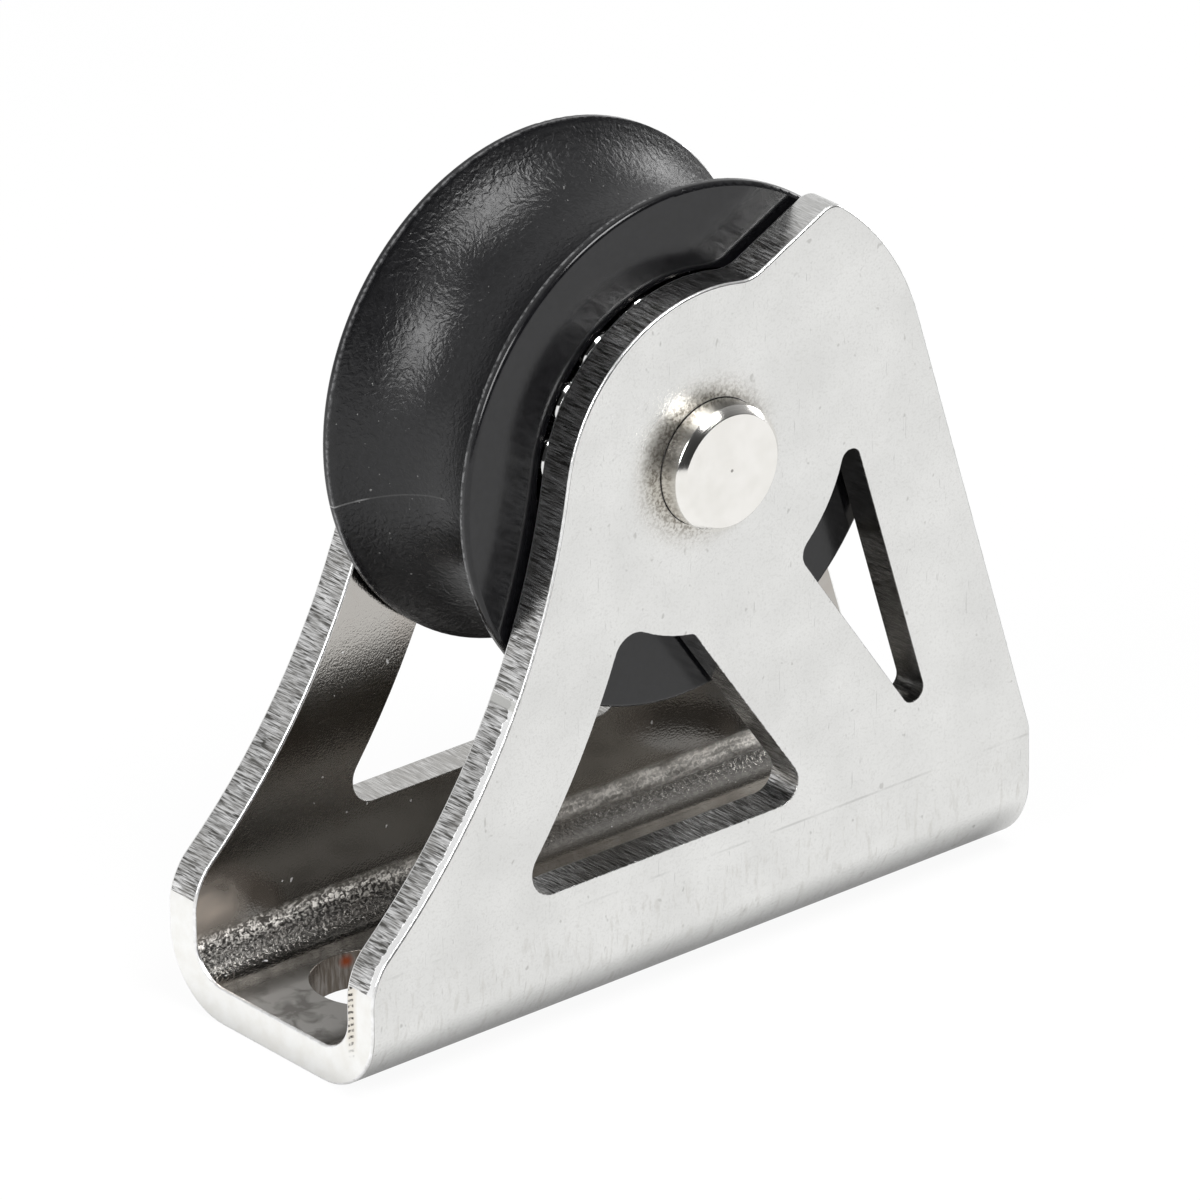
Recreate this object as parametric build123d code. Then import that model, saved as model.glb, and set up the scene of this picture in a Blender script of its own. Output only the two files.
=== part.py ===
from build123d import *
import math
import os

# Stand-up block: a grooved sheave on two rows of loose balls, held upright
# between two cheeks. The cheeks and the floor are one strip of stainless
# sheet, cut flat and bent to a U, and the floor is bolted to a deck.
# X runs along the floor, Y along the pin and Z up from the deck. The origin
# is on the underside of the floor, halfway between the two fixing holes.

# Sheave
sheave_diameter = 40.0
sheave_width = 16.5
groove_depth = 4.6
rim_land = 0.75
rim_edge_break = 0.35

# Frame sheet and channel
sheet_thickness = 3.0
floor_length = 63.0
inner_bend_radius = 3.0
sheave_side_gap = 0.5

# Pin
pin_height = 41.4
pin_ahead_of_middle = 0.75
pin_diameter = 9.7
pin_overhang = 2.2
pin_chamfer = 0.55
pin_seat_clearance = 0.02

# Ball rows and hub
ball_diameter = 4.0
ball_pitch_radius = 11.4
ball_overhang = 0.35
ball_side_gap = 0.15
ball_running_clearance = 0.1
hub_race_depth = 0.5
hub_bore_clearance = 0.05
hub_edge_break = 0.3
web_running_clearance = 0.3

# Fixing holes in the floor
fixing_hole_diameter = 9.0
fixing_hole_spacing = 44.4

# Cheek outline
front_corner_height = 10.0
front_arc_radius = 55.0
boss_radius = 13.6
saddle_angle = 26.5
saddle_offset = 10.0
saddle_round = 3.0
horn_radius = 20.6
horn_tip_round = 1.7
far_horn_tip_round = 8.0
tip_round_limit = 0.9
rear_corner_height = 10.5
corner_round = 0.6

# Front window of each cheek
front_leg_width = 8.0
front_window_floor = 11.7
front_window_boss_radius = 13.3
front_window_foot_round = 2.0
front_window_heel_round = 1.7
front_window_crown_round = 1.9
front_window_tip_round = 0.65

# Rear window of each cheek
rear_leg_width = 8.2
rear_window_tip_depth = 0.5
rear_window_shoulder_round = 1.4
rear_window_tip_round = 0.87
rear_window_foot_round = 1.0

# Spoke between the two windows
spoke_width = 10.0
spoke_angle = 55.5
spoke_offset = 3.95

# Places worked out from the sizes above
sheave_radius = sheave_diameter / 2
channel_inner_width = sheave_width + 2 * sheave_side_gap
channel_outer_width = channel_inner_width + 2 * sheet_thickness
outer_bend_radius = inner_bend_radius + sheet_thickness
ball_radius = ball_diameter / 2
row_offset = sheave_width / 2 + ball_overhang - ball_radius
ball_spread = 2 * math.asin((ball_radius + ball_side_gap / 2) / ball_pitch_radius)
balls_per_row = math.floor(2 * math.pi / ball_spread)
hub_radius = ball_pitch_radius - ball_radius - ball_running_clearance + hub_race_depth
pin_radius = pin_diameter / 2
pin_place = Vector(pin_ahead_of_middle, pin_height)
pin_axis = Pos(pin_ahead_of_middle, 0, pin_height) * Rot(90, 0, 0)
front_end = -floor_length / 2
rear_end = floor_length / 2
front_corner = Vector(front_end, front_corner_height)
rear_corner = Vector(rear_end, rear_corner_height)
cheek_top = pin_height + horn_radius

os.makedirs("parts", exist_ok=True)


# A point on a circle about a centre, at an angle measured up from +X
def around(centre, radius, degrees):
    return centre + Vector(radius, 0).rotate(Axis.Z, degrees)


# The angle of a point as seen from a centre, measured up from +X
def bearing_of(centre, point):
    away = point - centre
    return math.degrees(math.atan2(away.Y, away.X))


# The middle of the arc that runs clockwise about a centre between two points
def arc_middle(centre, start, end):
    start_angle = bearing_of(centre, start)
    swing = (start_angle - bearing_of(centre, end)) % 360
    return around(centre, (start - centre).length, start_angle - swing / 2)


# The point where two lines meet, each given by its normal's angle and offset
def lines_meet(first_angle, first_offset, second_angle, second_offset):
    first = math.radians(first_angle)
    second = math.radians(second_angle)
    spread = math.sin(second - first)
    across = first_offset * math.sin(second) - second_offset * math.sin(first)
    along = second_offset * math.cos(first) - first_offset * math.cos(second)
    return Vector(across / spread, along / spread)


# A closed outline in the cheek's plane becomes a prism along Y
def through_cheeks(edges):
    face = make_face(Plane.XZ * (Curve() + edges))
    return extrude(face, amount=channel_outer_width / 2, both=True)


# Rounds the edge along Y that stands nearest to a point in the cheek's plane,
# on the near cheek alone with a side of -1 and on the far one alone with 1
def round_corner(prism, point, radius, side=0):
    def distance(edge):
        middle = edge.center()
        return math.hypot(middle.X - point.X, middle.Z - point.Y)

    edges = [edge for edge in prism.edges().filter_by(Axis.Y) if edge.center().Y * side >= 0]
    return fillet(min(edges, key=distance), radius)


# The point where a line, given by its normal's angle and its distance from
# the pin, crosses a circle about the pin, on the side that turn points to
def line_on_circle(normal_angle, offset, radius, turn):
    swing = math.degrees(math.acos(offset / radius))
    return around(pin_place, radius, normal_angle + turn * swing)


# The front edge is one concave arc from the corner to a tangent on the boss
corner_to_pin = (pin_place - front_corner).length
corner_angle = bearing_of(pin_place, front_corner)
arc_centre_distance = front_arc_radius + boss_radius
arc_cosine = (corner_to_pin**2 + arc_centre_distance**2 - front_arc_radius**2) / (
    2 * corner_to_pin * arc_centre_distance
)
arc_centre_angle = corner_angle - math.degrees(math.acos(arc_cosine))
front_arc_centre = around(pin_place, arc_centre_distance, arc_centre_angle)
boss_tangent = around(pin_place, boss_radius, arc_centre_angle)
front_arc_middle = arc_middle(front_arc_centre, boss_tangent, front_corner)

# The saddle line runs from the boss up to the tip of the horn
saddle_normal = saddle_angle + 90
saddle_start = line_on_circle(saddle_normal, saddle_offset, boss_radius, -1)
horn_tip = line_on_circle(saddle_normal, saddle_offset, horn_radius, -1)
boss_top = arc_middle(pin_place, boss_tangent, saddle_start)

# The far horn is rounded so far that it stays hidden behind the sheave's rim,
# and its round ends before the saddle's own round begins
saddle_turn = math.acos(saddle_offset / boss_radius)
saddle_end = math.sqrt(boss_radius**2 - saddle_offset**2) + saddle_round * math.tan(saddle_turn / 2)
far_tip_limit = (horn_radius**2 - saddle_offset**2 - saddle_end**2) / (2 * (horn_radius - saddle_offset))
far_tip_round = min(far_horn_tip_round, far_tip_limit * tip_round_limit)

# The back edge leaves the rear corner and is tangent to the horn's arc
rear_corner_distance = (rear_corner - pin_place).length
back_angle = bearing_of(pin_place, rear_corner) + math.degrees(
    math.acos(horn_radius / rear_corner_distance)
)
horn_end = around(pin_place, horn_radius, back_angle)
horn_middle = arc_middle(pin_place, horn_tip, horn_end)

# The spoke's two edges, as distances from the pin along the spoke's normal
spoke_normal = 90 - spoke_angle
spoke_front_offset = -spoke_offset - spoke_width / 2
spoke_rear_offset = -spoke_offset + spoke_width / 2

# Corners of the front window: its front edge keeps the leg's width
leg_inner_radius = front_arc_radius + front_leg_width
window_floor_drop = front_window_floor - front_arc_centre.Y
front_foot = front_arc_centre + Vector(
    math.sqrt(leg_inner_radius**2 - window_floor_drop**2), window_floor_drop
)
front_heel = pin_place + Vector(
    (spoke_front_offset - math.sin(math.radians(spoke_normal)) * (front_window_floor - pin_height))
    / math.cos(math.radians(spoke_normal)),
    front_window_floor - pin_height,
)
front_tip = line_on_circle(spoke_normal, spoke_front_offset, front_window_boss_radius, -1)
crown_cosine = (
    arc_centre_distance**2 + front_window_boss_radius**2 - leg_inner_radius**2
) / (2 * arc_centre_distance * front_window_boss_radius)
crown_angle = arc_centre_angle + math.degrees(math.acos(crown_cosine))
front_crown = around(pin_place, front_window_boss_radius, crown_angle)

# Corners of the rear window: its rear edge keeps the rear leg's width, and its
# arc about the pin lies just outside that edge, so that they meet at the tip
rear_edge_offset = horn_radius - rear_leg_width
rear_window_boss_radius = rear_edge_offset + rear_window_tip_depth
rear_tip = line_on_circle(back_angle, rear_edge_offset, rear_window_boss_radius, -1)
rear_shoulder = line_on_circle(
    spoke_normal, spoke_rear_offset, rear_window_boss_radius, -1
)
rear_foot = pin_place + lines_meet(
    spoke_normal, spoke_rear_offset, back_angle, rear_edge_offset
)


# The frame: a U channel cut to the outline of its cheeks
def make_channel():
    outer = Rectangle(channel_outer_width, cheek_top, align=(Align.CENTER, Align.MIN))
    outer = fillet(outer.vertices().group_by(Axis.Y)[0], outer_bend_radius)
    inner = Pos(0, sheet_thickness) * Rectangle(
        channel_inner_width, cheek_top, align=(Align.CENTER, Align.MIN)
    )
    inner = fillet(inner.vertices().group_by(Axis.Y)[0], inner_bend_radius)
    return extrude(Plane.YZ * (outer - inner), amount=floor_length / 2, both=True)


def make_cheek_outline():
    edges = [
        Line(Vector(front_end, 0), front_corner),
        ThreePointArc(front_corner, front_arc_middle, boss_tangent),
        ThreePointArc(boss_tangent, boss_top, saddle_start),
        Line(saddle_start, horn_tip),
        ThreePointArc(horn_tip, horn_middle, horn_end),
        Line(horn_end, rear_corner),
        Line(rear_corner, Vector(rear_end, 0)),
        Line(Vector(rear_end, 0), Vector(front_end, 0)),
    ]
    outline = through_cheeks(edges)
    outline = round_corner(outline, saddle_start, saddle_round)
    outline = round_corner(outline, front_corner, corner_round)
    return round_corner(outline, rear_corner, corner_round)


# The front window opens between the front leg, the boss and the spoke
def make_front_window():
    edges = [
        Line(front_foot, front_heel),
        Line(front_heel, front_tip),
        ThreePointArc(front_tip, arc_middle(pin_place, front_tip, front_crown), front_crown),
        ThreePointArc(front_crown, arc_middle(front_arc_centre, front_crown, front_foot), front_foot),
    ]
    window = through_cheeks(edges)
    window = round_corner(window, front_foot, front_window_foot_round)
    window = round_corner(window, front_heel, front_window_heel_round)
    window = round_corner(window, front_crown, front_window_crown_round)
    return round_corner(window, front_tip, front_window_tip_round)


# The rear window is a long wedge between the boss, the spoke and the rear leg
def make_rear_window():
    edges = [
        Line(rear_shoulder, rear_foot),
        Line(rear_foot, rear_tip),
        ThreePointArc(rear_tip, arc_middle(pin_place, rear_tip, rear_shoulder), rear_shoulder),
    ]
    window = through_cheeks(edges)
    window = round_corner(window, rear_shoulder, rear_window_shoulder_round)
    window = round_corner(window, rear_foot, rear_window_foot_round)
    return round_corner(window, rear_tip, rear_window_tip_round)


def make_frame():
    frame = make_channel() & make_cheek_outline()
    frame = round_corner(frame, horn_tip, horn_tip_round, -1)
    frame = round_corner(frame, horn_tip, far_tip_round, 1)
    frame -= make_front_window()
    frame -= make_rear_window()
    pin_bore = Cylinder(pin_radius + pin_seat_clearance, channel_outer_width)
    frame -= pin_axis * pin_bore
    for side in (-1, 1):
        hole = Cylinder(fixing_hole_diameter / 2, outer_bend_radius * 2)
        frame -= Pos(side * fixing_hole_spacing / 2, 0, 0) * hole
    return frame


# The pin is a plain rod with a chamfer at each end, pressed into both cheeks
def make_pin():
    pin = Cylinder(pin_radius, channel_outer_width + 2 * pin_overhang)
    pin = chamfer(pin.edges().filter_by(GeomType.CIRCLE), pin_chamfer)
    return pin_axis * pin


# The hub is the inner race: a sleeve held between the cheeks, with a round
# groove turned near each end for one row of balls
def make_hub():
    hub = Cylinder(hub_radius, channel_inner_width)
    hub -= Cylinder(pin_radius + hub_bore_clearance, channel_inner_width)
    hub = chamfer(hub.edges().filter_by(GeomType.CIRCLE), hub_edge_break)
    race = Torus(ball_pitch_radius, ball_radius + ball_running_clearance)
    for side in (-1, 1):
        hub -= Pos(0, 0, side * row_offset) * race
    return pin_axis * hub


# The sheave: a round rope groove outside, a seat for a ball row in each side,
# whose inner corner is as round as the balls, and a web between the rows
def make_sheave():
    sheave = Cylinder(sheave_radius, sheave_width)
    sheave = fillet(sheave.edges().filter_by(GeomType.CIRCLE), rim_edge_break)
    groove_half_width = sheave_width / 2 - rim_land
    groove_round = (groove_half_width**2 + groove_depth**2) / (2 * groove_depth)
    sheave -= Torus(sheave_radius - groove_depth + groove_round, groove_round)
    seat_round = ball_radius + ball_running_clearance
    seat_depth = sheave_width / 2 - row_offset + seat_round
    for facing in (0, 180):
        seat = Cylinder(ball_pitch_radius + seat_round, seat_depth)
        seat_floor = seat.edges().filter_by(GeomType.CIRCLE).sort_by(Axis.Z)[0]
        seat = fillet(seat_floor, seat_round)
        sheave -= Rot(facing, 0, 0) * Pos(0, 0, (sheave_width - seat_depth) / 2) * seat
    sheave -= Cylinder(hub_radius + web_running_clearance, sheave_width)
    return pin_axis * sheave


# One ball of a row, at its own share of the turn about the pin
def make_ball(side, number):
    turn = Rot(0, 0, number * 360 / balls_per_row)
    return pin_axis * turn * Pos(ball_pitch_radius, 0, side * row_offset) * Sphere(ball_radius)


export_step(make_frame(), "parts/channel_frame.step")
export_step(make_pin(), "parts/axle_pin.step")
export_step(make_hub(), "parts/bearing_hub.step")
export_step(make_sheave(), "parts/sheave.step")
for row_name, side in (("near", 1), ("far", -1)):
    for number in range(balls_per_row):
        ball = make_ball(side, number)
        export_step(ball, f"parts/{row_name}_ball_{number + 1:02d}.step")
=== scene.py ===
import math

import bmesh
import bpy
from mathutils import Matrix, Vector


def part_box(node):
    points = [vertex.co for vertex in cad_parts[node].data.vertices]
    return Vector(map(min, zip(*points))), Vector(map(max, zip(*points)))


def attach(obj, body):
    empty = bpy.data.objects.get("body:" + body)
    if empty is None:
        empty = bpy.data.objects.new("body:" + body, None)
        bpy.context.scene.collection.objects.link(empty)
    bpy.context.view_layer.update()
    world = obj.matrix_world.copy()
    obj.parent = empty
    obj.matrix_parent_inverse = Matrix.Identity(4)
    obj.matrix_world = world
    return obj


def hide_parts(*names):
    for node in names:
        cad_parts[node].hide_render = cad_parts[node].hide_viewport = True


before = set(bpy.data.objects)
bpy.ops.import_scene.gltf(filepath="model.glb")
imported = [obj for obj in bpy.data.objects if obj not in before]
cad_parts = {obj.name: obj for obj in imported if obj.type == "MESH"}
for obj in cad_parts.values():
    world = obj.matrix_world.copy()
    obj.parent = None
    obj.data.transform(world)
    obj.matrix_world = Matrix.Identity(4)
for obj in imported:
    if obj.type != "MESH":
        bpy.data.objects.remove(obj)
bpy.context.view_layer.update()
# Sizes and places are in millimetres, or in metres where they are times mm
mm = 0.001


# channel_frame: one strip of 3 mm stainless sheet, laser-cut flat with its
# windows and holes, then bent up on both sides into a floor and two cheeks.
# The faces keep the rolled satin skin and the cut edges are ridged by the beam.


# A written sRGB colour as the linear one that the shaders take
def linear(code):
    channels = [int(code[start : start + 2], 16) / 255 for start in (1, 3, 5)]
    curve = [c / 12.92 if c <= 0.04045 else ((c + 0.055) / 1.055) ** 2.4 for c in channels]
    return (*curve, 1.0)


# Adds a node with its settings. An input is given by its name or its number,
# as a value, a written colour, a socket, or a node whose first live output it takes
def add(tree, kind, inputs, **settings):
    node = tree.nodes.new(kind)
    for name, value in settings.items():
        setattr(node, name, value)
    for key, value in inputs.items():
        if isinstance(value, bpy.types.Node):
            value = next(socket for socket in value.outputs if socket.enabled)
        if isinstance(value, bpy.types.NodeSocket):
            tree.links.new(value, node.inputs[key])
        elif isinstance(value, str):
            node.inputs[key].default_value = linear(value)
        else:
            node.inputs[key].default_value = value
    return node


# An empty material, ready for its nodes
def new_material(name):
    material = bpy.data.materials.new(name)
    material.use_nodes = True
    material.node_tree.nodes.clear()
    return material, material.node_tree


# A noise whose grain sizes along X, Y and Z are given in millimetres
def grain(tree, size_mm, detail, distortion=0.0, slant=0.0):
    place = add(tree, "ShaderNodeTexCoord", {})
    scale = [1 / (mm * size) for size in size_mm]
    mapping = add(
        tree,
        "ShaderNodeMapping",
        {"Vector": place.outputs["Object"], "Rotation": (slant, 0.0, 0.0), "Scale": scale},
    )
    inputs = {"Vector": mapping, "Scale": 1.0, "Detail": detail, "Distortion": distortion}
    return add(tree, "ShaderNodeTexNoise", inputs)


# X, Y and Z on the piece in millimetres
def places_mm(tree):
    place = add(tree, "ShaderNodeTexCoord", {})
    inputs = {0: place.outputs["Object"], 3: 1 / mm}
    scaled = add(tree, "ShaderNodeVectorMath", inputs, operation="SCALE")
    return add(tree, "ShaderNodeSeparateXYZ", {0: scaled}).outputs


# One within a band about a middle value, falling to nothing over a margin
def band(tree, value, middle, half_width, margin):
    away = add(tree, "ShaderNodeMath", {0: value, 1: middle}, operation="SUBTRACT")
    away = add(tree, "ShaderNodeMath", {0: away}, operation="ABSOLUTE")
    inputs = {0: away, 1: half_width, 2: half_width + margin, 3: 1.0, 4: 0.0}
    return add(tree, "ShaderNodeMapRange", inputs)


# Cold-rolled 316 stainless, tumbled after cutting: a pale even skin, nearly a
# mirror, whose fine pits break up the reflection of what stands close to it.
# The real pits are finer, and are drawn as coarse as they need to be to show.
# The skin has a few specks and hair scratches, press streaks below a faint line
# over the bend, and a gilt halo with crumbs about the pin, and a dark painted
# reflection of the pin lies on the cheek close round its upper side.
# Inside, the skin is painted darker as shade, and the channel is stained and
# dusty, scuffed dull at the front, grimy on the floor, and galled along the bends
# by the tool, most of all at the front, where painted shade darkens the galling
# below the crest of each bend and a painted highlight runs along the crest
def satin_sheet():
    material, tree = new_material("satin_stainless_sheet")
    x, y, z = places_mm(tree)
    side = add(tree, "ShaderNodeMath", {0: y}, operation="ABSOLUTE")
    inside = add(
        tree, "ShaderNodeMapRange", {0: side, 1: inner_skin_start, 2: inner_skin_end, 3: 1.0, 4: 0.0}
    )
    above = add(tree, "ShaderNodeMapRange", {0: z, 1: floor_skin_start, 2: floor_skin_end})
    inside = add(tree, "ShaderNodeMath", {0: inside, 1: above}, operation="MULTIPLY")
    cloud = grain(tree, (6.0, 6.0, 6.0), 3.0)
    tone = add(tree, "ShaderNodeMapRange", {0: cloud, 1: 0.35, 2: 0.65})
    base = add(tree, "ShaderNodeMix", {0: tone, 6: "#DCDCDA", 7: "#E5E5E3"}, data_type="RGBA")
    specks = grain(tree, (0.7, 0.5, 0.9), 1.0)
    speck = add(tree, "ShaderNodeMapRange", {0: specks, 1: 0.74, 2: 0.8, 3: 0.0, 4: 0.45})
    base = add(tree, "ShaderNodeMix", {0: speck, 6: base, 7: "#A3A29E"}, data_type="RGBA")
    hairs = grain(tree, (0.12, 1.0, 1.8), 1.0, 0.6)
    hair = add(tree, "ShaderNodeMapRange", {0: hairs, 1: 0.72, 2: 0.78, 3: 0.0, 4: 0.35})
    base = add(tree, "ShaderNodeMix", {0: hair, 6: base, 7: "#9C9B98"}, data_type="RGBA")
    press = grain(tree, (0.5, 2.0, 1.8), 2.0, 0.3)
    pressed = add(tree, "ShaderNodeMapRange", {0: press, 1: 0.55, 2: 0.7, 3: 0.0, 4: 0.4})
    low = add(
        tree,
        "ShaderNodeMapRange",
        {0: z, 1: fold_mark_height - press_fade, 2: fold_mark_height, 3: 1.0, 4: 0.0},
    )
    pressed = add(tree, "ShaderNodeMath", {0: pressed, 1: low}, operation="MULTIPLY")
    base = add(tree, "ShaderNodeMix", {0: pressed, 6: base, 7: "#C9C7C2"}, data_type="RGBA")
    fade = grain(tree, (4.0, 4.0, 4.0), 3.0)
    fold = band(tree, z, fold_mark_height, 0.04, 0.1)
    faded = add(tree, "ShaderNodeMapRange", {0: fade, 1: 0.45, 2: 0.65, 3: 0.0, 4: 0.3})
    fold = add(tree, "ShaderNodeMath", {0: fold, 1: faded}, operation="MULTIPLY")
    base = add(tree, "ShaderNodeMix", {0: fold, 6: base, 7: "#8E8D8A"}, data_type="RGBA")
    pits = grain(tree, (0.16, 0.16, 0.16), 2.0)
    pitted = add(tree, "ShaderNodeMapRange", {0: pits, 1: 0.5, 2: 0.72, 3: 0.0, 4: 0.2})
    base = add(tree, "ShaderNodeMix", {0: pitted, 6: base, 7: "#B5B3AF"}, data_type="RGBA")
    place = add(tree, "ShaderNodeTexCoord", {})
    flat = add(
        tree, "ShaderNodeVectorMath", {0: place.outputs["Object"], 1: (1.0, 0.0, 1.0)}, operation="MULTIPLY"
    )
    from_pin = add(tree, "ShaderNodeVectorMath", {0: flat, 1: halo_centre}, operation="DISTANCE")
    halo = add(
        tree,
        "ShaderNodeMapRange",
        {0: from_pin, 1: pin_radius * mm, 2: (pin_radius + halo_width) * mm, 3: 1.0, 4: 0.0},
    )
    halo = add(tree, "ShaderNodeMath", {0: halo, 1: 2.0}, operation="POWER")
    outside = add(tree, "ShaderNodeMath", {0: 1.0, 1: inside}, operation="SUBTRACT")
    halo = add(tree, "ShaderNodeMath", {0: halo, 1: outside}, operation="MULTIPLY")
    crumbs = grain(tree, (0.22, 0.22, 0.22), 2.0, 0.4)
    smudge = add(tree, "ShaderNodeMapRange", {0: crumbs, 1: 0.42, 2: 0.62, 3: 0.1, 4: 0.9})
    smudge = add(tree, "ShaderNodeMath", {0: smudge, 1: halo}, operation="MULTIPLY")
    gilt = add(tree, "ShaderNodeMath", {0: halo, 1: gilt_share}, operation="MULTIPLY")
    base = add(tree, "ShaderNodeMix", {0: gilt, 6: base, 7: "#D2C3A2"}, data_type="RGBA")
    base = add(tree, "ShaderNodeMix", {0: smudge, 6: base, 7: "#857F76"}, data_type="RGBA")
    # A dark painted reflection of the pin on the cheek, close round the pin and strongest a little above it
    reach = (pin_radius + pin_reflection_width) * mm
    painted_pin_reflection = add(tree, "ShaderNodeMapRange", {0: from_pin, 1: pin_radius * mm, 2: reach, 3: 0.65, 4: 0.0})
    pin_reflection_height = band(tree, z, pin_z + pin_reflection_lift, 0.8, 2.0)
    painted_pin_reflection = add(tree, "ShaderNodeMath", {0: painted_pin_reflection, 1: pin_reflection_height}, operation="MULTIPLY")
    painted_pin_reflection = add(tree, "ShaderNodeMath", {0: painted_pin_reflection, 1: outside}, operation="MULTIPLY")
    base = add(tree, "ShaderNodeMix", {0: painted_pin_reflection, 6: base, 7: "#45423E"}, data_type="RGBA")
    # The inner skin is painted darker all over as shade
    base = add(tree, "ShaderNodeMix", {0: inside, 6: base, 7: "#B4B1AC"}, data_type="RGBA")
    stains = grain(tree, (5.0, 5.0, 5.0), 3.0, 0.8)
    stained = add(tree, "ShaderNodeMapRange", {0: stains, 1: 0.5, 2: 0.66, 3: 0.0, 4: 0.25})
    stained = add(tree, "ShaderNodeMath", {0: inside, 1: stained}, operation="MULTIPLY")
    base = add(tree, "ShaderNodeMix", {0: stained, 6: base, 7: "#A89C93"}, data_type="RGBA")
    galls = grain(tree, (0.32, 0.26, 0.26), 3.0, 0.7)
    streaks = grain(tree, (2.5, 1.0, 0.4), 2.0)
    bend = band(tree, z, gall_height, gall_half_width, 1.0)
    bend = add(tree, "ShaderNodeMath", {0: bend, 1: inside}, operation="MULTIPLY")
    ahead = add(tree, "ShaderNodeMapRange", {0: x, 1: gall_front, 2: gall_back, 3: 1.0, 4: 0.0})
    galled = add(tree, "ShaderNodeMapRange", {0: ahead, 3: 0.5, 4: 1.0})
    bend = add(tree, "ShaderNodeMath", {0: bend, 1: galled}, operation="MULTIPLY")
    # A painted highlight runs along the crest of each inner bend, streaky and crumbly, strongest at the
    # front, and dulled like the dust
    crest = band(tree, z, crest_height, crest_half_width, 0.8)
    crest = add(tree, "ShaderNodeMath", {0: crest, 1: inside}, operation="MULTIPLY")
    uneven = add(tree, "ShaderNodeMapRange", {0: streaks, 1: 0.35, 2: 0.6, 3: 0.7, 4: 1.5})
    crest = add(tree, "ShaderNodeMath", {0: crest, 1: uneven}, operation="MULTIPLY")
    # Below the crest the galled band is darkened by painted shade as well as by the galling
    galled_and_shaded = add(tree, "ShaderNodeMapRange", {0: galls, 1: 0.42, 2: 0.62, 3: 0.9, 4: 0.3})
    galled_and_shaded = add(tree, "ShaderNodeMath", {0: galled_and_shaded, 1: bend}, operation="MULTIPLY")
    base = add(tree, "ShaderNodeMix", {0: galled_and_shaded, 6: base, 7: "#3A3938"}, data_type="RGBA")
    crumbly = add(tree, "ShaderNodeMapRange", {0: galls, 1: 0.44, 2: 0.64})
    streaky = add(tree, "ShaderNodeMapRange", {0: streaks, 1: 0.3, 2: 0.65, 3: 0.4, 4: 1.0})
    painted_crest_highlight = add(tree, "ShaderNodeMix", {0: galled, 2: streaky, 3: crumbly})
    painted_crest_highlight = add(tree, "ShaderNodeMath", {0: painted_crest_highlight, 1: crest}, operation="MULTIPLY")
    base = add(tree, "ShaderNodeMix", {0: painted_crest_highlight, 6: base, 7: "#FFFBF5"}, data_type="RGBA")
    dust = add(tree, "ShaderNodeMapRange", {0: specks, 1: 0.785, 2: 0.8, 3: 0.0, 4: 0.7})
    dust = add(tree, "ShaderNodeMath", {0: dust, 1: inside}, operation="MULTIPLY")
    base = add(tree, "ShaderNodeMix", {0: dust, 6: base, 7: "#FFFFFF"}, data_type="RGBA")
    dust_scuff_and_highlight = add(tree, "ShaderNodeMath", {0: painted_crest_highlight, 1: dust}, operation="MAXIMUM")
    # The floor's top inside is lighter than the walls, which are painted darker as shade
    floor_top = band(tree, z, sheet_thickness, 0.1, 0.6)
    middle = band(tree, y, grime_middle, grime_half_width, 3.0)
    floor_top = add(tree, "ShaderNodeMath", {0: floor_top, 1: middle}, operation="MULTIPLY")
    floor_top = add(tree, "ShaderNodeMath", {0: floor_top, 1: inside}, operation="MULTIPLY")
    base = add(tree, "ShaderNodeMix", {0: floor_top, 6: base, 7: "#C4C2BF"}, data_type="RGBA")
    grime = grain(tree, (1.8, 1.8, 1.8), 3.0, 0.5)
    grime = add(tree, "ShaderNodeMapRange", {0: grime, 1: 0.48, 2: 0.64, 3: 0.0, 4: 0.6})
    grime = add(tree, "ShaderNodeMath", {0: grime, 1: floor_top}, operation="MULTIPLY")
    base = add(tree, "ShaderNodeMix", {0: grime, 6: base, 7: "#6E6A65"}, data_type="RGBA")
    outer_rough = add(tree, "ShaderNodeMapRange", {0: cloud, 1: 0.3, 2: 0.7, 3: 0.2, 4: 0.24})
    rough = add(tree, "ShaderNodeMapRange", {0: inside, 3: outer_rough, 4: 0.1})
    worn = add(tree, "ShaderNodeMapRange", {0: x, 1: worn_front, 2: worn_back, 3: 0.58, 4: 0.3})
    rough = add(tree, "ShaderNodeMapRange", {0: floor_top, 3: rough, 4: worn})
    scuff = band(tree, z, scuff_height, 0.8, 2.2)
    scuff_and_highlight_mask = add(
        tree, "ShaderNodeMapRange", {0: x, 1: scuff_reach - scuff_fade, 2: scuff_reach, 3: 1.0, 4: 0.0}
    )
    scuff = add(tree, "ShaderNodeMath", {0: scuff, 1: scuff_and_highlight_mask}, operation="MULTIPLY")
    scuff = add(tree, "ShaderNodeMath", {0: scuff, 1: inside}, operation="MULTIPLY")
    ragged = add(tree, "ShaderNodeMapRange", {0: stains, 1: 0.38, 2: 0.6, 3: 0.4, 4: 1.0})
    scuff = add(tree, "ShaderNodeMath", {0: scuff, 1: ragged}, operation="MULTIPLY")
    base = add(tree, "ShaderNodeMix", {0: scuff, 6: base, 7: "#E4D8CC"}, data_type="RGBA")
    dust_scuff_and_highlight = add(tree, "ShaderNodeMath", {0: scuff, 1: 0.2, 2: dust_scuff_and_highlight}, operation="MULTIPLY_ADD")
    metal = add(tree, "ShaderNodeMapRange", {0: dust_scuff_and_highlight, 3: 1.0, 4: 0.15})
    rough = add(tree, "ShaderNodeMapRange", {0: scuff, 3: rough, 4: 0.5})
    rough = add(tree, "ShaderNodeMapRange", {0: halo, 3: rough, 4: 0.42})
    rough = add(tree, "ShaderNodeMapRange", {0: bend, 3: rough, 4: 0.38})
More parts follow.
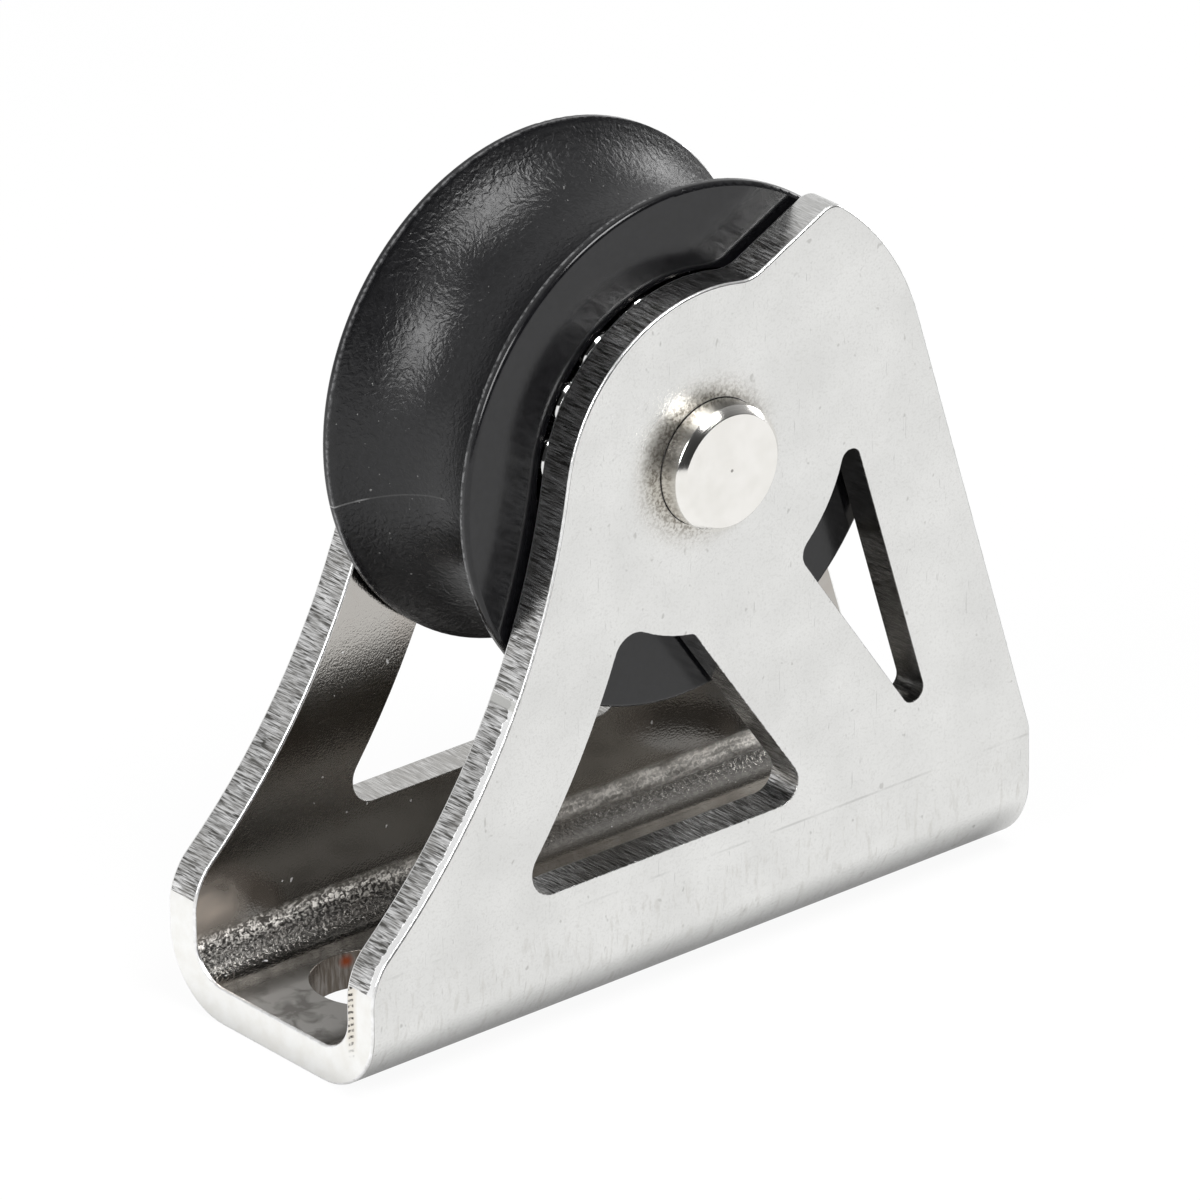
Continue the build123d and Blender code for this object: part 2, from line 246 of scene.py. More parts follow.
    rough = add(tree, "ShaderNodeMapRange", {0: crest, 3: rough, 4: 0.6})
    depth = add(tree, "ShaderNodeMapRange", {0: inside, 3: 0.8, 4: 0.25})
    height = add(tree, "ShaderNodeMath", {0: pits, 1: depth}, operation="MULTIPLY")
    lumps = add(tree, "ShaderNodeMath", {0: crumbs, 1: halo}, operation="MULTIPLY")
    height = add(tree, "ShaderNodeMath", {0: lumps, 1: crumb_relief, 2: height}, operation="MULTIPLY_ADD")
    lumps = add(tree, "ShaderNodeMath", {0: galls, 1: bend}, operation="MULTIPLY")
    height = add(tree, "ShaderNodeMath", {0: lumps, 1: gall_relief, 2: height}, operation="MULTIPLY_ADD")
    bump = add(tree, "ShaderNodeBump", {"Strength": 1.0, "Distance": 0.035 * mm, "Height": height})
    shader = add(
        tree,
        "ShaderNodeBsdfPrincipled",
        {"Base Color": base, "Metallic": metal, "Roughness": rough, "Normal": bump},
    )
    add(tree, "ShaderNodeOutputMaterial", {"Surface": shader})
    return material


# The laser leaves ridges across the sheet's thickness, dark oxide in their
# hollows and bright metal on their crests. The floor's holes are browned, and
# the front one has a spot of rust. The crowns of the horns and the walls that
# face up on the far cheek are painted paler as light falling on them. The near
# cheek has a hem along its front edge, smooth and painted white as a highlight
# on the rolled burr, and a step where the cut began with a painted white
# highlight along it. Those of its rear walls that face forwards are darkened
# by painted shade
def laser_cut_edge():
    material, tree = new_material("laser_cut_edge")
    x, y, z = places_mm(tree)
    ridges = grain(tree, (0.12, 1.6, 0.12), 3.0, 0.6, ridge_slant)
    bores = grain(tree, (0.24, 0.24, 1.6), 3.0, 0.4)
    in_floor = add(
        tree, "ShaderNodeMapRange", {0: z, 1: sheet_thickness, 2: floor_wall_end, 3: 1.0, 4: 0.0}
    )
    ridges = add(tree, "ShaderNodeMix", {0: in_floor, 2: ridges, 3: bores})
    broad = grain(tree, (1.4, 1.4, 1.4), 2.0)
    crest = add(tree, "ShaderNodeMapRange", {0: ridges, 1: 0.38, 2: 0.62})
    base = add(tree, "ShaderNodeMix", {0: crest, 6: "#5C5B58", 7: "#FFFFFF"}, data_type="RGBA")
    patchy = add(tree, "ShaderNodeMapRange", {0: broad, 1: 0.4, 2: 0.7, 3: 0.0, 4: 0.45})
    base = add(tree, "ShaderNodeMix", {0: patchy, 6: base, 7: "#A8A6A2"}, data_type="RGBA")
    browned = add(tree, "ShaderNodeMath", {0: in_floor, 1: 0.75}, operation="MULTIPLY")
    base = add(tree, "ShaderNodeMix", {0: browned, 6: base, 7: "#8F8377"}, data_type="RGBA")
    place = add(tree, "ShaderNodeTexCoord", {})
    spot = add(
        tree, "ShaderNodeVectorMath", {0: place.outputs["Object"], 1: rust_spot}, operation="DISTANCE"
    )
    rusty = add(tree, "ShaderNodeMapRange", {0: spot, 1: rust_core, 2: rust_reach, 3: 0.9, 4: 0.0})
    base = add(tree, "ShaderNodeMix", {0: rusty, 6: base, 7: "#B4501E"}, data_type="RGBA")
    near_cheek = add(tree, "ShaderNodeMath", {0: y, 1: 0.0}, operation="LESS_THAN")
    facing = add(tree, "ShaderNodeSeparateXYZ", {0: place.outputs["Normal"]}).outputs
    forwards = add(tree, "ShaderNodeMapRange", {0: facing[0], 1: -0.2, 2: 0.0, 3: 1.0, 4: 0.0})
    # The far cheek's walls that face up are painted paler as light falling on them
    upwards = add(tree, "ShaderNodeMapRange", {0: facing[2], 1: 0.7, 2: 0.9, 3: 0.0, 4: 0.5})
    far_cheek = add(tree, "ShaderNodeMath", {0: 1.0, 1: near_cheek}, operation="SUBTRACT")
    upwards = add(tree, "ShaderNodeMath", {0: upwards, 1: far_cheek}, operation="MULTIPLY")
    base = add(tree, "ShaderNodeMix", {0: upwards, 6: base, 7: "#F2F0EC"}, data_type="RGBA")
    # The near cheek's rear walls that face forwards are darkened by painted shade
    forward_wall_shade = add(tree, "ShaderNodeMapRange", {0: x, 1: forward_shade_front, 2: forward_shade_back, 3: 0.0, 4: 0.75})
    forward_wall_shade = add(tree, "ShaderNodeMath", {0: forward_wall_shade, 1: forwards}, operation="MULTIPLY")
    forward_wall_shade = add(tree, "ShaderNodeMath", {0: forward_wall_shade, 1: near_cheek}, operation="MULTIPLY")
    base = add(tree, "ShaderNodeMix", {0: forward_wall_shade, 6: base, 7: "#45433F"}, data_type="RGBA")
    ahead = add(tree, "ShaderNodeMath", {0: x, 1: front_edge_end}, operation="LESS_THAN")
    near_front = add(tree, "ShaderNodeMath", {0: near_cheek, 1: ahead}, operation="MULTIPLY")
    wobble = grain(tree, (0.5, 1.2, 0.5), 2.0)
    hem = add(tree, "ShaderNodeMath", {0: wobble, 1: hem_wobble, 2: y}, operation="MULTIPLY_ADD")
    hem_edge = hem_width + hem_wobble / 2 - sheet_inner - sheet_thickness
    hem = add(tree, "ShaderNodeMapRange", {0: hem, 1: hem_edge - 0.1, 2: hem_edge, 3: 1.0, 4: 0.0})
    below_start = add(tree, "ShaderNodeMath", {0: z, 1: cut_start_height}, operation="LESS_THAN")
    hem = add(tree, "ShaderNodeMath", {0: hem, 1: below_start}, operation="MULTIPLY")
    hem = add(tree, "ShaderNodeMath", {0: hem, 1: near_front}, operation="MULTIPLY")
    hem = add(tree, "ShaderNodeMath", {0: hem, 1: forwards}, operation="MULTIPLY")
    # The hem is painted white as a highlight on the rolled burr
    base = add(tree, "ShaderNodeMix", {0: hem, 6: base, 7: "#FFFFFF"}, data_type="RGBA")
    # The crowns of the horns are painted paler as light falling on them
    crown = add(
        tree, "ShaderNodeMapRange", {0: z, 1: crown_height - crown_fade, 2: crown_height, 3: 0.0, 4: 0.7}
    )
    base = add(tree, "ShaderNodeMix", {0: crown, 6: base, 7: "#F6F6F4"}, data_type="RGBA")
    # A painted white highlight along the step where the cut began
    start = band(tree, z, cut_start_height, 0.05, 0.06)
    start = add(tree, "ShaderNodeMath", {0: start, 1: near_front}, operation="MULTIPLY")
    smooth = band(tree, z, cut_start_height - step_drop, 0.25, 0.15)
    smooth = add(tree, "ShaderNodeMath", {0: smooth, 1: near_front}, operation="MULTIPLY")
    base = add(tree, "ShaderNodeMix", {0: smooth, 6: base, 7: "#E2E2DF"}, data_type="RGBA")
    base = add(tree, "ShaderNodeMix", {0: start, 6: base, 7: "#FFFFFF"}, data_type="RGBA")
    calm = add(tree, "ShaderNodeMath", {0: smooth, 1: hem}, operation="MAXIMUM")
    calm = add(tree, "ShaderNodeMath", {0: 1.0, 1: calm}, operation="SUBTRACT")
    height = add(tree, "ShaderNodeMath", {0: ridges, 1: calm, 2: start}, operation="MULTIPLY_ADD")
    bump = add(tree, "ShaderNodeBump", {"Strength": 1.0, "Distance": 0.04 * mm, "Height": height})
    rough = add(tree, "ShaderNodeMapRange", {0: hem, 3: 0.26, 4: 0.45})
    shader = add(
        tree,
        "ShaderNodeBsdfPrincipled",
        {"Base Color": base, "Metallic": 1.0, "Roughness": rough, "Normal": bump},
    )
    add(tree, "ShaderNodeOutputMaterial", {"Surface": shader})
    return material


# The corner between a face and a cut edge is burnished bright where the
# tumbling took the burr off. On the near cheek's outer side a dark hairline of
# painted shade runs beside the face
def burnished_corner():
    material, tree = new_material("burnished_corner")
    nicks = grain(tree, (0.5, 0.5, 0.5), 3.0)
    tone = add(tree, "ShaderNodeMapRange", {0: nicks, 1: 0.35, 2: 0.6})
    base = add(tree, "ShaderNodeMix", {0: tone, 6: "#EDEDEB", 7: "#FFFFFF"}, data_type="RGBA")
    place = add(tree, "ShaderNodeTexCoord", {})
    facing = add(tree, "ShaderNodeSeparateXYZ", {0: place.outputs["Normal"]}).outputs[1]
    facing = add(tree, "ShaderNodeMath", {0: facing}, operation="ABSOLUTE")
    # A dark hairline of painted shade where the rounded corner turns to the near cheek's outer face
    hairline = band(tree, facing, hairline_facing, 0.02, 0.02)
    y = places_mm(tree)[1]
    outer = add(tree, "ShaderNodeMath", {0: y, 1: -sheet_inner - hairline_depth}, operation="LESS_THAN")
    hairline = add(tree, "ShaderNodeMath", {0: hairline, 1: outer}, operation="MULTIPLY")
    hairline = add(tree, "ShaderNodeMath", {0: hairline, 1: 0.7}, operation="MULTIPLY")
    base = add(tree, "ShaderNodeMix", {0: hairline, 6: base, 7: "#6E6D6A"}, data_type="RGBA")
    bump = add(tree, "ShaderNodeBump", {"Strength": 0.6, "Distance": 0.05 * mm, "Height": nicks})
    shader = add(
        tree,
        "ShaderNodeBsdfPrincipled",
        {"Base Color": base, "Metallic": 1.0, "Roughness": 0.32, "Normal": bump},
    )
    add(tree, "ShaderNodeOutputMaterial", {"Surface": shader})
    return material


# The ends of the channel are linished almost white after the cut, with a row
# of short slanted tool bites left beside the inner corner of the near cheek
def linished_end():
    material, tree = new_material("linished_channel_end")
    y, z = places_mm(tree)[1:]
    cloud = grain(tree, (1.5, 1.5, 1.5), 3.0)
    tone = add(tree, "ShaderNodeMapRange", {0: cloud, 1: 0.35, 2: 0.65})
    base = add(tree, "ShaderNodeMix", {0: tone, 6: "#F6F5F1", 7: "#FDFDFB"}, data_type="RGBA")
    beside = band(tree, y, bite_middle, 0.3, 0.5)
    foot = add(tree, "ShaderNodeMapRange", {0: z, 1: bite_foot, 2: bite_foot + bite_fade})
    beside = add(tree, "ShaderNodeMath", {0: beside, 1: foot}, operation="MULTIPLY")
    yellowed = add(tree, "ShaderNodeMath", {0: beside, 1: 0.5}, operation="MULTIPLY")
    base = add(tree, "ShaderNodeMix", {0: yellowed, 6: base, 7: "#D9CDB8"}, data_type="RGBA")
    slant = add(tree, "ShaderNodeMath", {0: y, 1: bite_slope, 2: z}, operation="MULTIPLY_ADD")
    turns = add(tree, "ShaderNodeMath", {0: slant, 1: 1 / bite_pitch, 2: cloud}, operation="MULTIPLY_ADD")
    turns = add(tree, "ShaderNodeMath", {0: turns, 1: 0.5}, operation="PINGPONG")
    bite = add(tree, "ShaderNodeMapRange", {0: turns, 1: 0.15, 2: 0.27, 3: 1.0, 4: 0.0})
    nibble = grain(tree, (0.35, 0.35, 0.35), 2.0)
    reach = add(tree, "ShaderNodeMapRange", {0: nibble, 1: 0.35, 2: 0.55})
    bite = add(tree, "ShaderNodeMath", {0: bite, 1: reach}, operation="MULTIPLY")
    narrow = band(tree, y, bite_middle, 0.26, 0.12)
    bite = add(tree, "ShaderNodeMath", {0: bite, 1: narrow}, operation="MULTIPLY")
    bite = add(tree, "ShaderNodeMath", {0: bite, 1: foot}, operation="MULTIPLY")
    base = add(tree, "ShaderNodeMix", {0: bite, 6: base, 7: "#2E2B28"}, data_type="RGBA")
    bump = add(tree, "ShaderNodeBump", {"Strength": 0.3, "Distance": 0.04 * mm, "Height": nibble})
    shader = add(
        tree,
        "ShaderNodeBsdfPrincipled",
        {"Base Color": base, "Metallic": 1.0, "Roughness": 0.3, "Normal": bump},
    )
    add(tree, "ShaderNodeOutputMaterial", {"Surface": shader})
    return material


# A copy of a CAD node's mesh, joined up into whole faces for bevelling
def joined_copy(node, name):
    mesh = bpy.data.meshes.new(name)
    work = bmesh.new()
    work.from_mesh(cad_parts[node].data)
    bmesh.ops.remove_doubles(work, verts=work.verts, dist=weld_distance)
    bmesh.ops.dissolve_limit(work, angle_limit=flat_angle, verts=work.verts, edges=work.edges)
    work.to_mesh(mesh)
    work.free()
    piece = bpy.data.objects.new(name, mesh)
    bpy.context.scene.collection.objects.link(piece)
    return piece


# Applies a piece's modifiers, so that a plain mesh is left
def apply_modifiers(piece):
    seen = bpy.context.evaluated_depsgraph_get()
    mesh = bpy.data.meshes.new_from_object(piece.evaluated_get(seen))
    piece.modifiers.clear()
    piece.data = mesh


# Breaks the sharp corners of a piece, each by its own width in metres, and
# gives the new faces a material slot. The broad faces stay flat to the eye
def break_corners(piece, width_of, slot_index):
    work = bmesh.new()
    work.from_mesh(piece.data)
    layers = work.edges.layers.float
    weight = layers.get("bevel_weight_edge") or layers.new("bevel_weight_edge")
    for edge in work.edges:
        sharp = edge.is_manifold and edge.calc_face_angle() > sharp_angle
        edge[weight] = width_of(edge) if sharp else 0.0
    widest = max(edge[weight] for edge in work.edges)
    for edge in work.edges:
        edge[weight] /= widest
    work.to_mesh(piece.data)
    work.free()
    bevel = piece.modifiers.new("corners", "BEVEL")
    bevel.width = widest
    bevel.segments = 3
    bevel.limit_method = "WEIGHT"
    bevel.use_clamp_overlap = False
    bevel.loop_slide = False
    bevel.material = slot_index
    weighted = piece.modifiers.new("flats", "WEIGHTED_NORMAL")
    weighted.mode = "FACE_AREA"
    weighted.weight = 50
    apply_modifiers(piece)


# The walls of the windows and holes: smooth runs of faces that never reach an
# end of the channel
def enclosed_walls(work, reach):
    walls = set()
    waiting = set(work.faces)
    while waiting:
        run = [waiting.pop()]
        for face in run:
            edges = [edge for edge in face.edges if edge.calc_face_angle(math.pi) < sharp_angle]
            near_by = {other for edge in edges for other in edge.link_faces} & waiting
            waiting -= near_by
            run.extend(near_by)
        if max(abs(vert.co.x) for face in run for vert in face.verts) < reach:
            walls.update(run)
    return walls


channel_low, channel_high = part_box("channel_frame")
pin_low, pin_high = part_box("axle_pin")
pin_x = (pin_low[0] + pin_high[0]) / 2 / mm
pin_z = (pin_low[2] + pin_high[2]) / 2 / mm
pin_radius = (pin_high[0] - pin_low[0]) / 2 / mm

# The sheet. Its inner skin is told from its outer one just beyond the cheek's
# inner face, and in the middle of the floor's thickness
sheet_thickness = 3.0
sheet_inner = channel_high[1] / mm - sheet_thickness
inner_skin_start = sheet_inner + 0.1
inner_skin_end = sheet_inner + 0.2
floor_skin_start = 1.0
floor_skin_end = 2.0
floor_wall_end = sheet_thickness + 0.1
bend_top = 6.5

# The marks on the skins: heights above the deck, places along the channel and
# widths. The reliefs are multiples of the pits' own
fold_mark_height = 9.9
press_fade = 2.0
halo_width = 2.7
halo_shift_x = -0.8
halo_shift_z = 0.3
halo_centre = ((pin_x + halo_shift_x) * mm, 0.0, (pin_z + halo_shift_z) * mm)
gilt_share = 0.2
pin_reflection_width = 1.3
pin_reflection_lift = 2.3
crumb_relief = 0.8
gall_height = 4.4
gall_half_width = 0.5
gall_front = -15.0
gall_back = -8.0
gall_relief = 4.5
crest_height = 5.25
crest_half_width = 0.15
scuff_height = 8.2
scuff_reach = -26.0
scuff_fade = 2.0
grime_middle = -1.0
grime_half_width = 3.5
worn_front = -26.0
worn_back = -18.0

# The marks on the cut edges and the ends
ridge_slant = math.radians(18)
rust_spot = (-21.02 * mm, 4.34 * mm, 2.29 * mm)
rust_core = 0.15 * mm
rust_reach = 0.7 * mm
forward_shade_front = 11.0
forward_shade_back = 12.5
front_edge_end = -9.0
cut_start_height = 28.0
step_drop = 0.45
crown_height = 57.4
crown_fade = 1.5
hem_width = 0.75
hem_wobble = 0.7
hairline_facing = 0.96
hairline_depth = 2.0
bite_pitch = 0.5
bite_middle = -sheet_inner - 0.5
bite_foot = 3.0
bite_fade = 2.0
bite_slope = 0.6

# How the mesh is joined up, rounded and told apart
sharp_angle = math.radians(40)
flat_angle = math.radians(0.5)
weld_distance = 0.001 * mm
corner_match = 0.01 * mm
front_corner_height = 10.0
front_corner_reach = 1.2
front_corner_width = 2.1
window_corner_width = 0.05 * mm
outline_corner_width = 0.2 * mm
end_margin = 1.0 * mm
end_match = 0.1 * mm
cut_tilt = 0.15

channel = joined_copy("channel_frame", "channel_frame_sheet")
satin_slot, cut_slot, corner_slot, end_slot = range(4)
for material in (satin_sheet(), laser_cut_edge(), burnished_corner(), linished_end()):
    channel.data.materials.append(material)

# The two front corners were tumbled rounder than the rest: each small rounding
# is drawn in to its corner, which is then rounded by its full width
work = bmesh.new()
work.from_mesh(channel.data)
for vert in work.verts:
    corner = Vector((channel_low[0], vert.co.y, front_corner_height * mm))
    if (vert.co - corner).length < front_corner_reach * mm:
        vert.co = corner
bmesh.ops.remove_doubles(work, verts=work.verts, dist=weld_distance)
corner_line = Vector((channel_low[0], front_corner_height * mm))
corners = [
    edge
    for edge in work.edges
    if all((vert.co.xz - corner_line).length < corner_match for vert in edge.verts)
]
bmesh.ops.bevel(
    work, geom=corners, offset=front_corner_width * mm, segments=8, profile=0.5, affect="EDGES"
)
windows = enclosed_walls(work, channel_high[0] - end_margin)
for face in work.faces:
    face.smooth = True
    face.material_index = satin_slot
    middle = face.calc_center_median()
    if face in windows:
        face.material_index = cut_slot
    elif abs(middle.x) > channel_high[0] - end_match:
        face.material_index = end_slot
    elif abs(face.normal.y) < cut_tilt and middle.z > bend_top * mm:
        face.material_index = cut_slot
work.edges.index_update()
window_rims = {edge.index for face in windows for edge in face.edges}
work.to_mesh(channel.data)
work.free()


# How wide a corner of the windows and holes is broken. The others are left
def window_corner(edge):
    return window_corner_width if edge.index in window_rims else 0.0


# The windows and holes come first, then all that is still sharp
break_corners(channel, window_corner, cut_slot)
break_corners(channel, lambda edge: outline_corner_width, corner_slot)
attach(channel, "frame")
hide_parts("channel_frame")


# axle_pin: a plain rod of stainless, turned with a chamfer at each end,
# polished, and pressed through both cheeks.


# Polished bar: nearly a mirror round its side, with faint rings of the lathe
# tool and a dark line where it enters the cheek. Its end face is dulled by
# facing it off, and has a small centre dot
def polished_pin():
    material, tree = new_material("polished_stainless_pin")
    x, y, z = places_mm(tree)
    across = add(tree, "ShaderNodeMath", {0: x, 1: pin_x}, operation="SUBTRACT")
    up = add(tree, "ShaderNodeMath", {0: z, 1: pin_z}, operation="SUBTRACT")
    spoke = add(tree, "ShaderNodeCombineXYZ", {0: across, 2: up})
    radius = add(tree, "ShaderNodeVectorMath", {0: spoke}, operation="LENGTH")
    scuffs = grain(tree, (1.6, 1.6, 1.6), 3.0)
    tone = add(tree, "ShaderNodeMapRange", {0: scuffs, 1: 0.35, 2: 0.7})
    base = add(tree, "ShaderNodeMix", {0: tone, 6: "#F2F0EC", 7: "#EBE9E4"}, data_type="RGBA")
    dot = add(tree, "ShaderNodeMapRange", {0: radius, 1: centre_dot, 2: 2 * centre_dot, 3: 0.7, 4: 0.0})
    base = add(tree, "ShaderNodeMix", {0: dot, 6: base, 7: "#55524E"}, data_type="RGBA")
    side = add(tree, "ShaderNodeMath", {0: y}, operation="ABSOLUTE")
    ring = band(tree, side, channel_high[1] / mm, 0.08, 0.06)
    ring = add(tree, "ShaderNodeMath", {0: ring, 1: 0.8}, operation="MULTIPLY")
    base = add(tree, "ShaderNodeMix", {0: ring, 6: base, 7: "#2B2523"}, data_type="RGBA")
    rim = pin_radius - pin_chamfer
    face = add(tree, "ShaderNodeMapRange", {0: radius, 1: rim - 0.1, 2: rim, 3: 1.0, 4: 0.0})
    rough = add(tree, "ShaderNodeMapRange", {0: face, 3: 0.15, 4: 0.24})
    rings = grain(tree, (3.0, 0.1, 3.0), 1.0)
    bump = add(tree, "ShaderNodeBump", {"Strength": 0.3, "Distance": 0.02 * mm, "Height": rings})
    shader = add(
        tree,
        "ShaderNodeBsdfPrincipled",
        {"Base Color": base, "Metallic": 1.0, "Roughness": rough, "Normal": bump},
    )
    add(tree, "ShaderNodeOutputMaterial", {"Surface": shader})
    return material


pin_chamfer = 0.55
pin_corner_width = 0.06 * mm
centre_dot = 0.08
pin = joined_copy("axle_pin", "axle_pin_bar")
pin.data.materials.append(polished_pin())
for face in pin.data.polygons:
    face.use_smooth = True
break_corners(pin, lambda edge: pin_corner_width, slot_index=0)
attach(pin, "frame")
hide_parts("axle_pin")


# bearing_hub: the inner race, a stainless sleeve turned all over, with a
# round groove near each end for the balls. It is held between the cheeks.


# Turned stainless: fine rings about the pin, a little duller than the pin
def turned_sleeve():
    material, tree = new_material("turned_stainless_sleeve")
    rings = grain(tree, (3.0, 0.15, 3.0), 2.0)
    tone = add(tree, "ShaderNodeMapRange", {0: rings, 1: 0.4, 2: 0.6})
    base = add(tree, "ShaderNodeMix", {0: tone, 6: "#C9C8C5", 7: "#DCDBD8"}, data_type="RGBA")
    bump = add(tree, "ShaderNodeBump", {"Strength": 0.4, "Distance": 0.03 * mm, "Height": rings})
    shader = add(
        tree,
        "ShaderNodeBsdfPrincipled",
        {"Base Color": base, "Metallic": 1.0, "Roughness": 0.28, "Normal": bump},
    )
    add(tree, "ShaderNodeOutputMaterial", {"Surface": shader})
    return material


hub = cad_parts["bearing_hub"]
hub.data.materials.clear()
hub.data.materials.append(turned_sleeve())


# sheave: moulded in black acetal and skimmed on its side faces, with the
# finely wrinkled skin of the mould left in its rope groove.


# Black acetal: dark and a little waxy. The groove keeps the mould's wrinkles,
# which show only in its highlights, and a few pale specks. A broken grey line of
# painted highlight runs round each rim, the sides are smooth, and a broken grey
# parting line of the mould crosses the far half of the groove
def black_acetal():
    material, tree = new_material("black_acetal")
    x, y, z = places_mm(tree)
    across = add(tree, "ShaderNodeMath", {0: x, 1: pin_x}, operation="SUBTRACT")
    up = add(tree, "ShaderNodeMath", {0: z, 1: pin_z}, operation="SUBTRACT")
    spoke = add(tree, "ShaderNodeCombineXYZ", {0: across, 2: up})
    radius = add(tree, "ShaderNodeVectorMath", {0: spoke}, operation="LENGTH")
    side = add(tree, "ShaderNodeMath", {0: y}, operation="ABSOLUTE")
    groove = add(
        tree,
        "ShaderNodeMapRange",
        {0: side, 1: groove_edge - groove_fade, 2: groove_edge, 3: 1.0, 4: 0.0},
    )
    wrinkles = grain(tree, (0.42, 0.42, 0.42), 2.0, 0.6)
    patches = grain(tree, (4.0, 4.0, 4.0), 2.0)
    dust = grain(tree, (0.35, 0.35, 0.35), 1.0)
    tone = add(tree, "ShaderNodeMapRange", {0: wrinkles, 1: 0.35, 2: 0.65})
    base = add(tree, "ShaderNodeMix", {0: tone, 6: "#0C0C0E", 7: "#141416"}, data_type="RGBA")
    # A broken grey painted highlight along the outer edge of each rim
    rim = band(tree, side, groove_edge + rim_highlight_inset, 0.05, 0.12)
    rim_highlight_start = sheave_radius - rim_highlight_depth
    rim_highlight_full = sheave_radius - rim_highlight_depth / 2
    outermost = add(tree, "ShaderNodeMapRange", {0: radius, 1: rim_highlight_start, 2: rim_highlight_full})
    scuff_and_highlight_mask = add(tree, "ShaderNodeMapRange", {0: dust, 1: 0.4, 2: 0.62, 3: 0.1, 4: 0.8})
    rim = add(tree, "ShaderNodeMath", {0: rim, 1: outermost}, operation="MULTIPLY")
    rim = add(tree, "ShaderNodeMath", {0: rim, 1: scuff_and_highlight_mask}, operation="MULTIPLY")
    base = add(tree, "ShaderNodeMix", {0: rim, 6: base, 7: "#6B6B6C"}, data_type="RGBA")
    lean = add(tree, "ShaderNodeMath", {0: across, 1: math.tan(mould_line_angle)}, operation="MULTIPLY")
    lean = add(tree, "ShaderNodeMath", {0: y, 1: mould_line_skew, 2: lean}, operation="MULTIPLY_ADD")
    lean = add(tree, "ShaderNodeMath", {0: up, 1: lean}, operation="SUBTRACT")
    mould = band(tree, lean, mould_line_drop, 0.03, 0.06)
    ahead = add(
        tree,
        "ShaderNodeMapRange",
        {0: across, 1: mould_line_end, 2: mould_line_end + 1.0, 3: 1.0, 4: 0.0},
    )
    far_half = add(tree, "ShaderNodeMapRange", {0: y, 1: 0.0, 2: mould_line_fade})
    mould = add(tree, "ShaderNodeMath", {0: mould, 1: ahead}, operation="MULTIPLY")
    mould = add(tree, "ShaderNodeMath", {0: mould, 1: far_half}, operation="MULTIPLY")
    broken = add(tree, "ShaderNodeMapRange", {0: patches, 1: 0.45, 2: 0.6, 3: 0.1, 4: 0.9})
    mould = add(tree, "ShaderNodeMath", {0: mould, 1: broken}, operation="MULTIPLY")
    base = add(tree, "ShaderNodeMix", {0: mould, 6: base, 7: "#8A8A8A"}, data_type="RGBA")
    specks = add(tree, "ShaderNodeMapRange", {0: dust, 1: 0.76, 2: 0.8, 3: 0.0, 4: 0.5})
    specks = add(tree, "ShaderNodeMath", {0: groove, 1: specks}, operation="MULTIPLY")
    base = add(tree, "ShaderNodeMix", {0: specks, 6: base, 7: "#9A9A98"}, data_type="RGBA")
    moulded = add(tree, "ShaderNodeMapRange", {0: patches, 1: 0.3, 2: 0.7, 3: 0.3, 4: 0.38})
    rough = add(tree, "ShaderNodeMapRange", {0: groove, 3: 0.17, 4: moulded})
    depth = add(tree, "ShaderNodeMapRange", {0: groove, 3: 0.06, 4: 1.0})
    height = add(tree, "ShaderNodeMath", {0: wrinkles, 1: depth}, operation="MULTIPLY")
    bump = add(tree, "ShaderNodeBump", {"Strength": 0.7, "Distance": 0.1 * mm, "Height": height})
    shader = add(
        tree,
        "ShaderNodeBsdfPrincipled",
        {"Base Color": base, "Metallic": 0.0, "Roughness": rough, "IOR": 1.48, "Normal": bump},
    )
    add(tree, "ShaderNodeOutputMaterial", {"Surface": shader})
    return material


sheave_low, sheave_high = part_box("sheave")
sheave_radius = (sheave_high[2] - sheave_low[2]) / 2 / mm
rim_land = 0.75
groove_edge = sheave_high[1] / mm - rim_land
groove_fade = 0.3
rim_highlight_inset = 0.1
rim_highlight_depth = 0.6
mould_line_angle = math.radians(12.3)
mould_line_skew = -0.13
mould_line_drop = 0.8
mould_line_end = -8.0
mould_line_fade = 0.6
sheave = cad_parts["sheave"]
sheave.data.materials.clear()
sheave.data.materials.append(black_acetal())


# near and far ball rows: seventeen loose steel balls a side, rolling between
# the groove of the hub and the seat in the sheave, and left bare at the cheek.


# Ground and polished bearing steel: a clean mirror with a trace of haze
def bearing_steel():
    material, tree = new_material("polished_bearing_steel")
    haze = grain(tree, (0.8, 0.8, 0.8), 2.0)
    tone = add(tree, "ShaderNodeMapRange", {0: haze, 1: 0.3, 2: 0.7})
    base = add(tree, "ShaderNodeMix", {0: tone, 6: "#D9D9D8", 7: "#E8E8E7"}, data_type="RGBA")
    rough = add(tree, "ShaderNodeMapRange", {0: haze, 1: 0.3, 2: 0.7, 3: 0.07, 4: 0.13})
    bump = add(tree, "ShaderNodeBump", {"Strength": 0.1, "Distance": 0.02 * mm, "Height": haze})
    shader = add(
        tree,
        "ShaderNodeBsdfPrincipled",
        {"Base Color": base, "Metallic": 1.0, "Roughness": rough, "Normal": bump},
    )
    add(tree, "ShaderNodeOutputMaterial", {"Surface": shader})
    return material


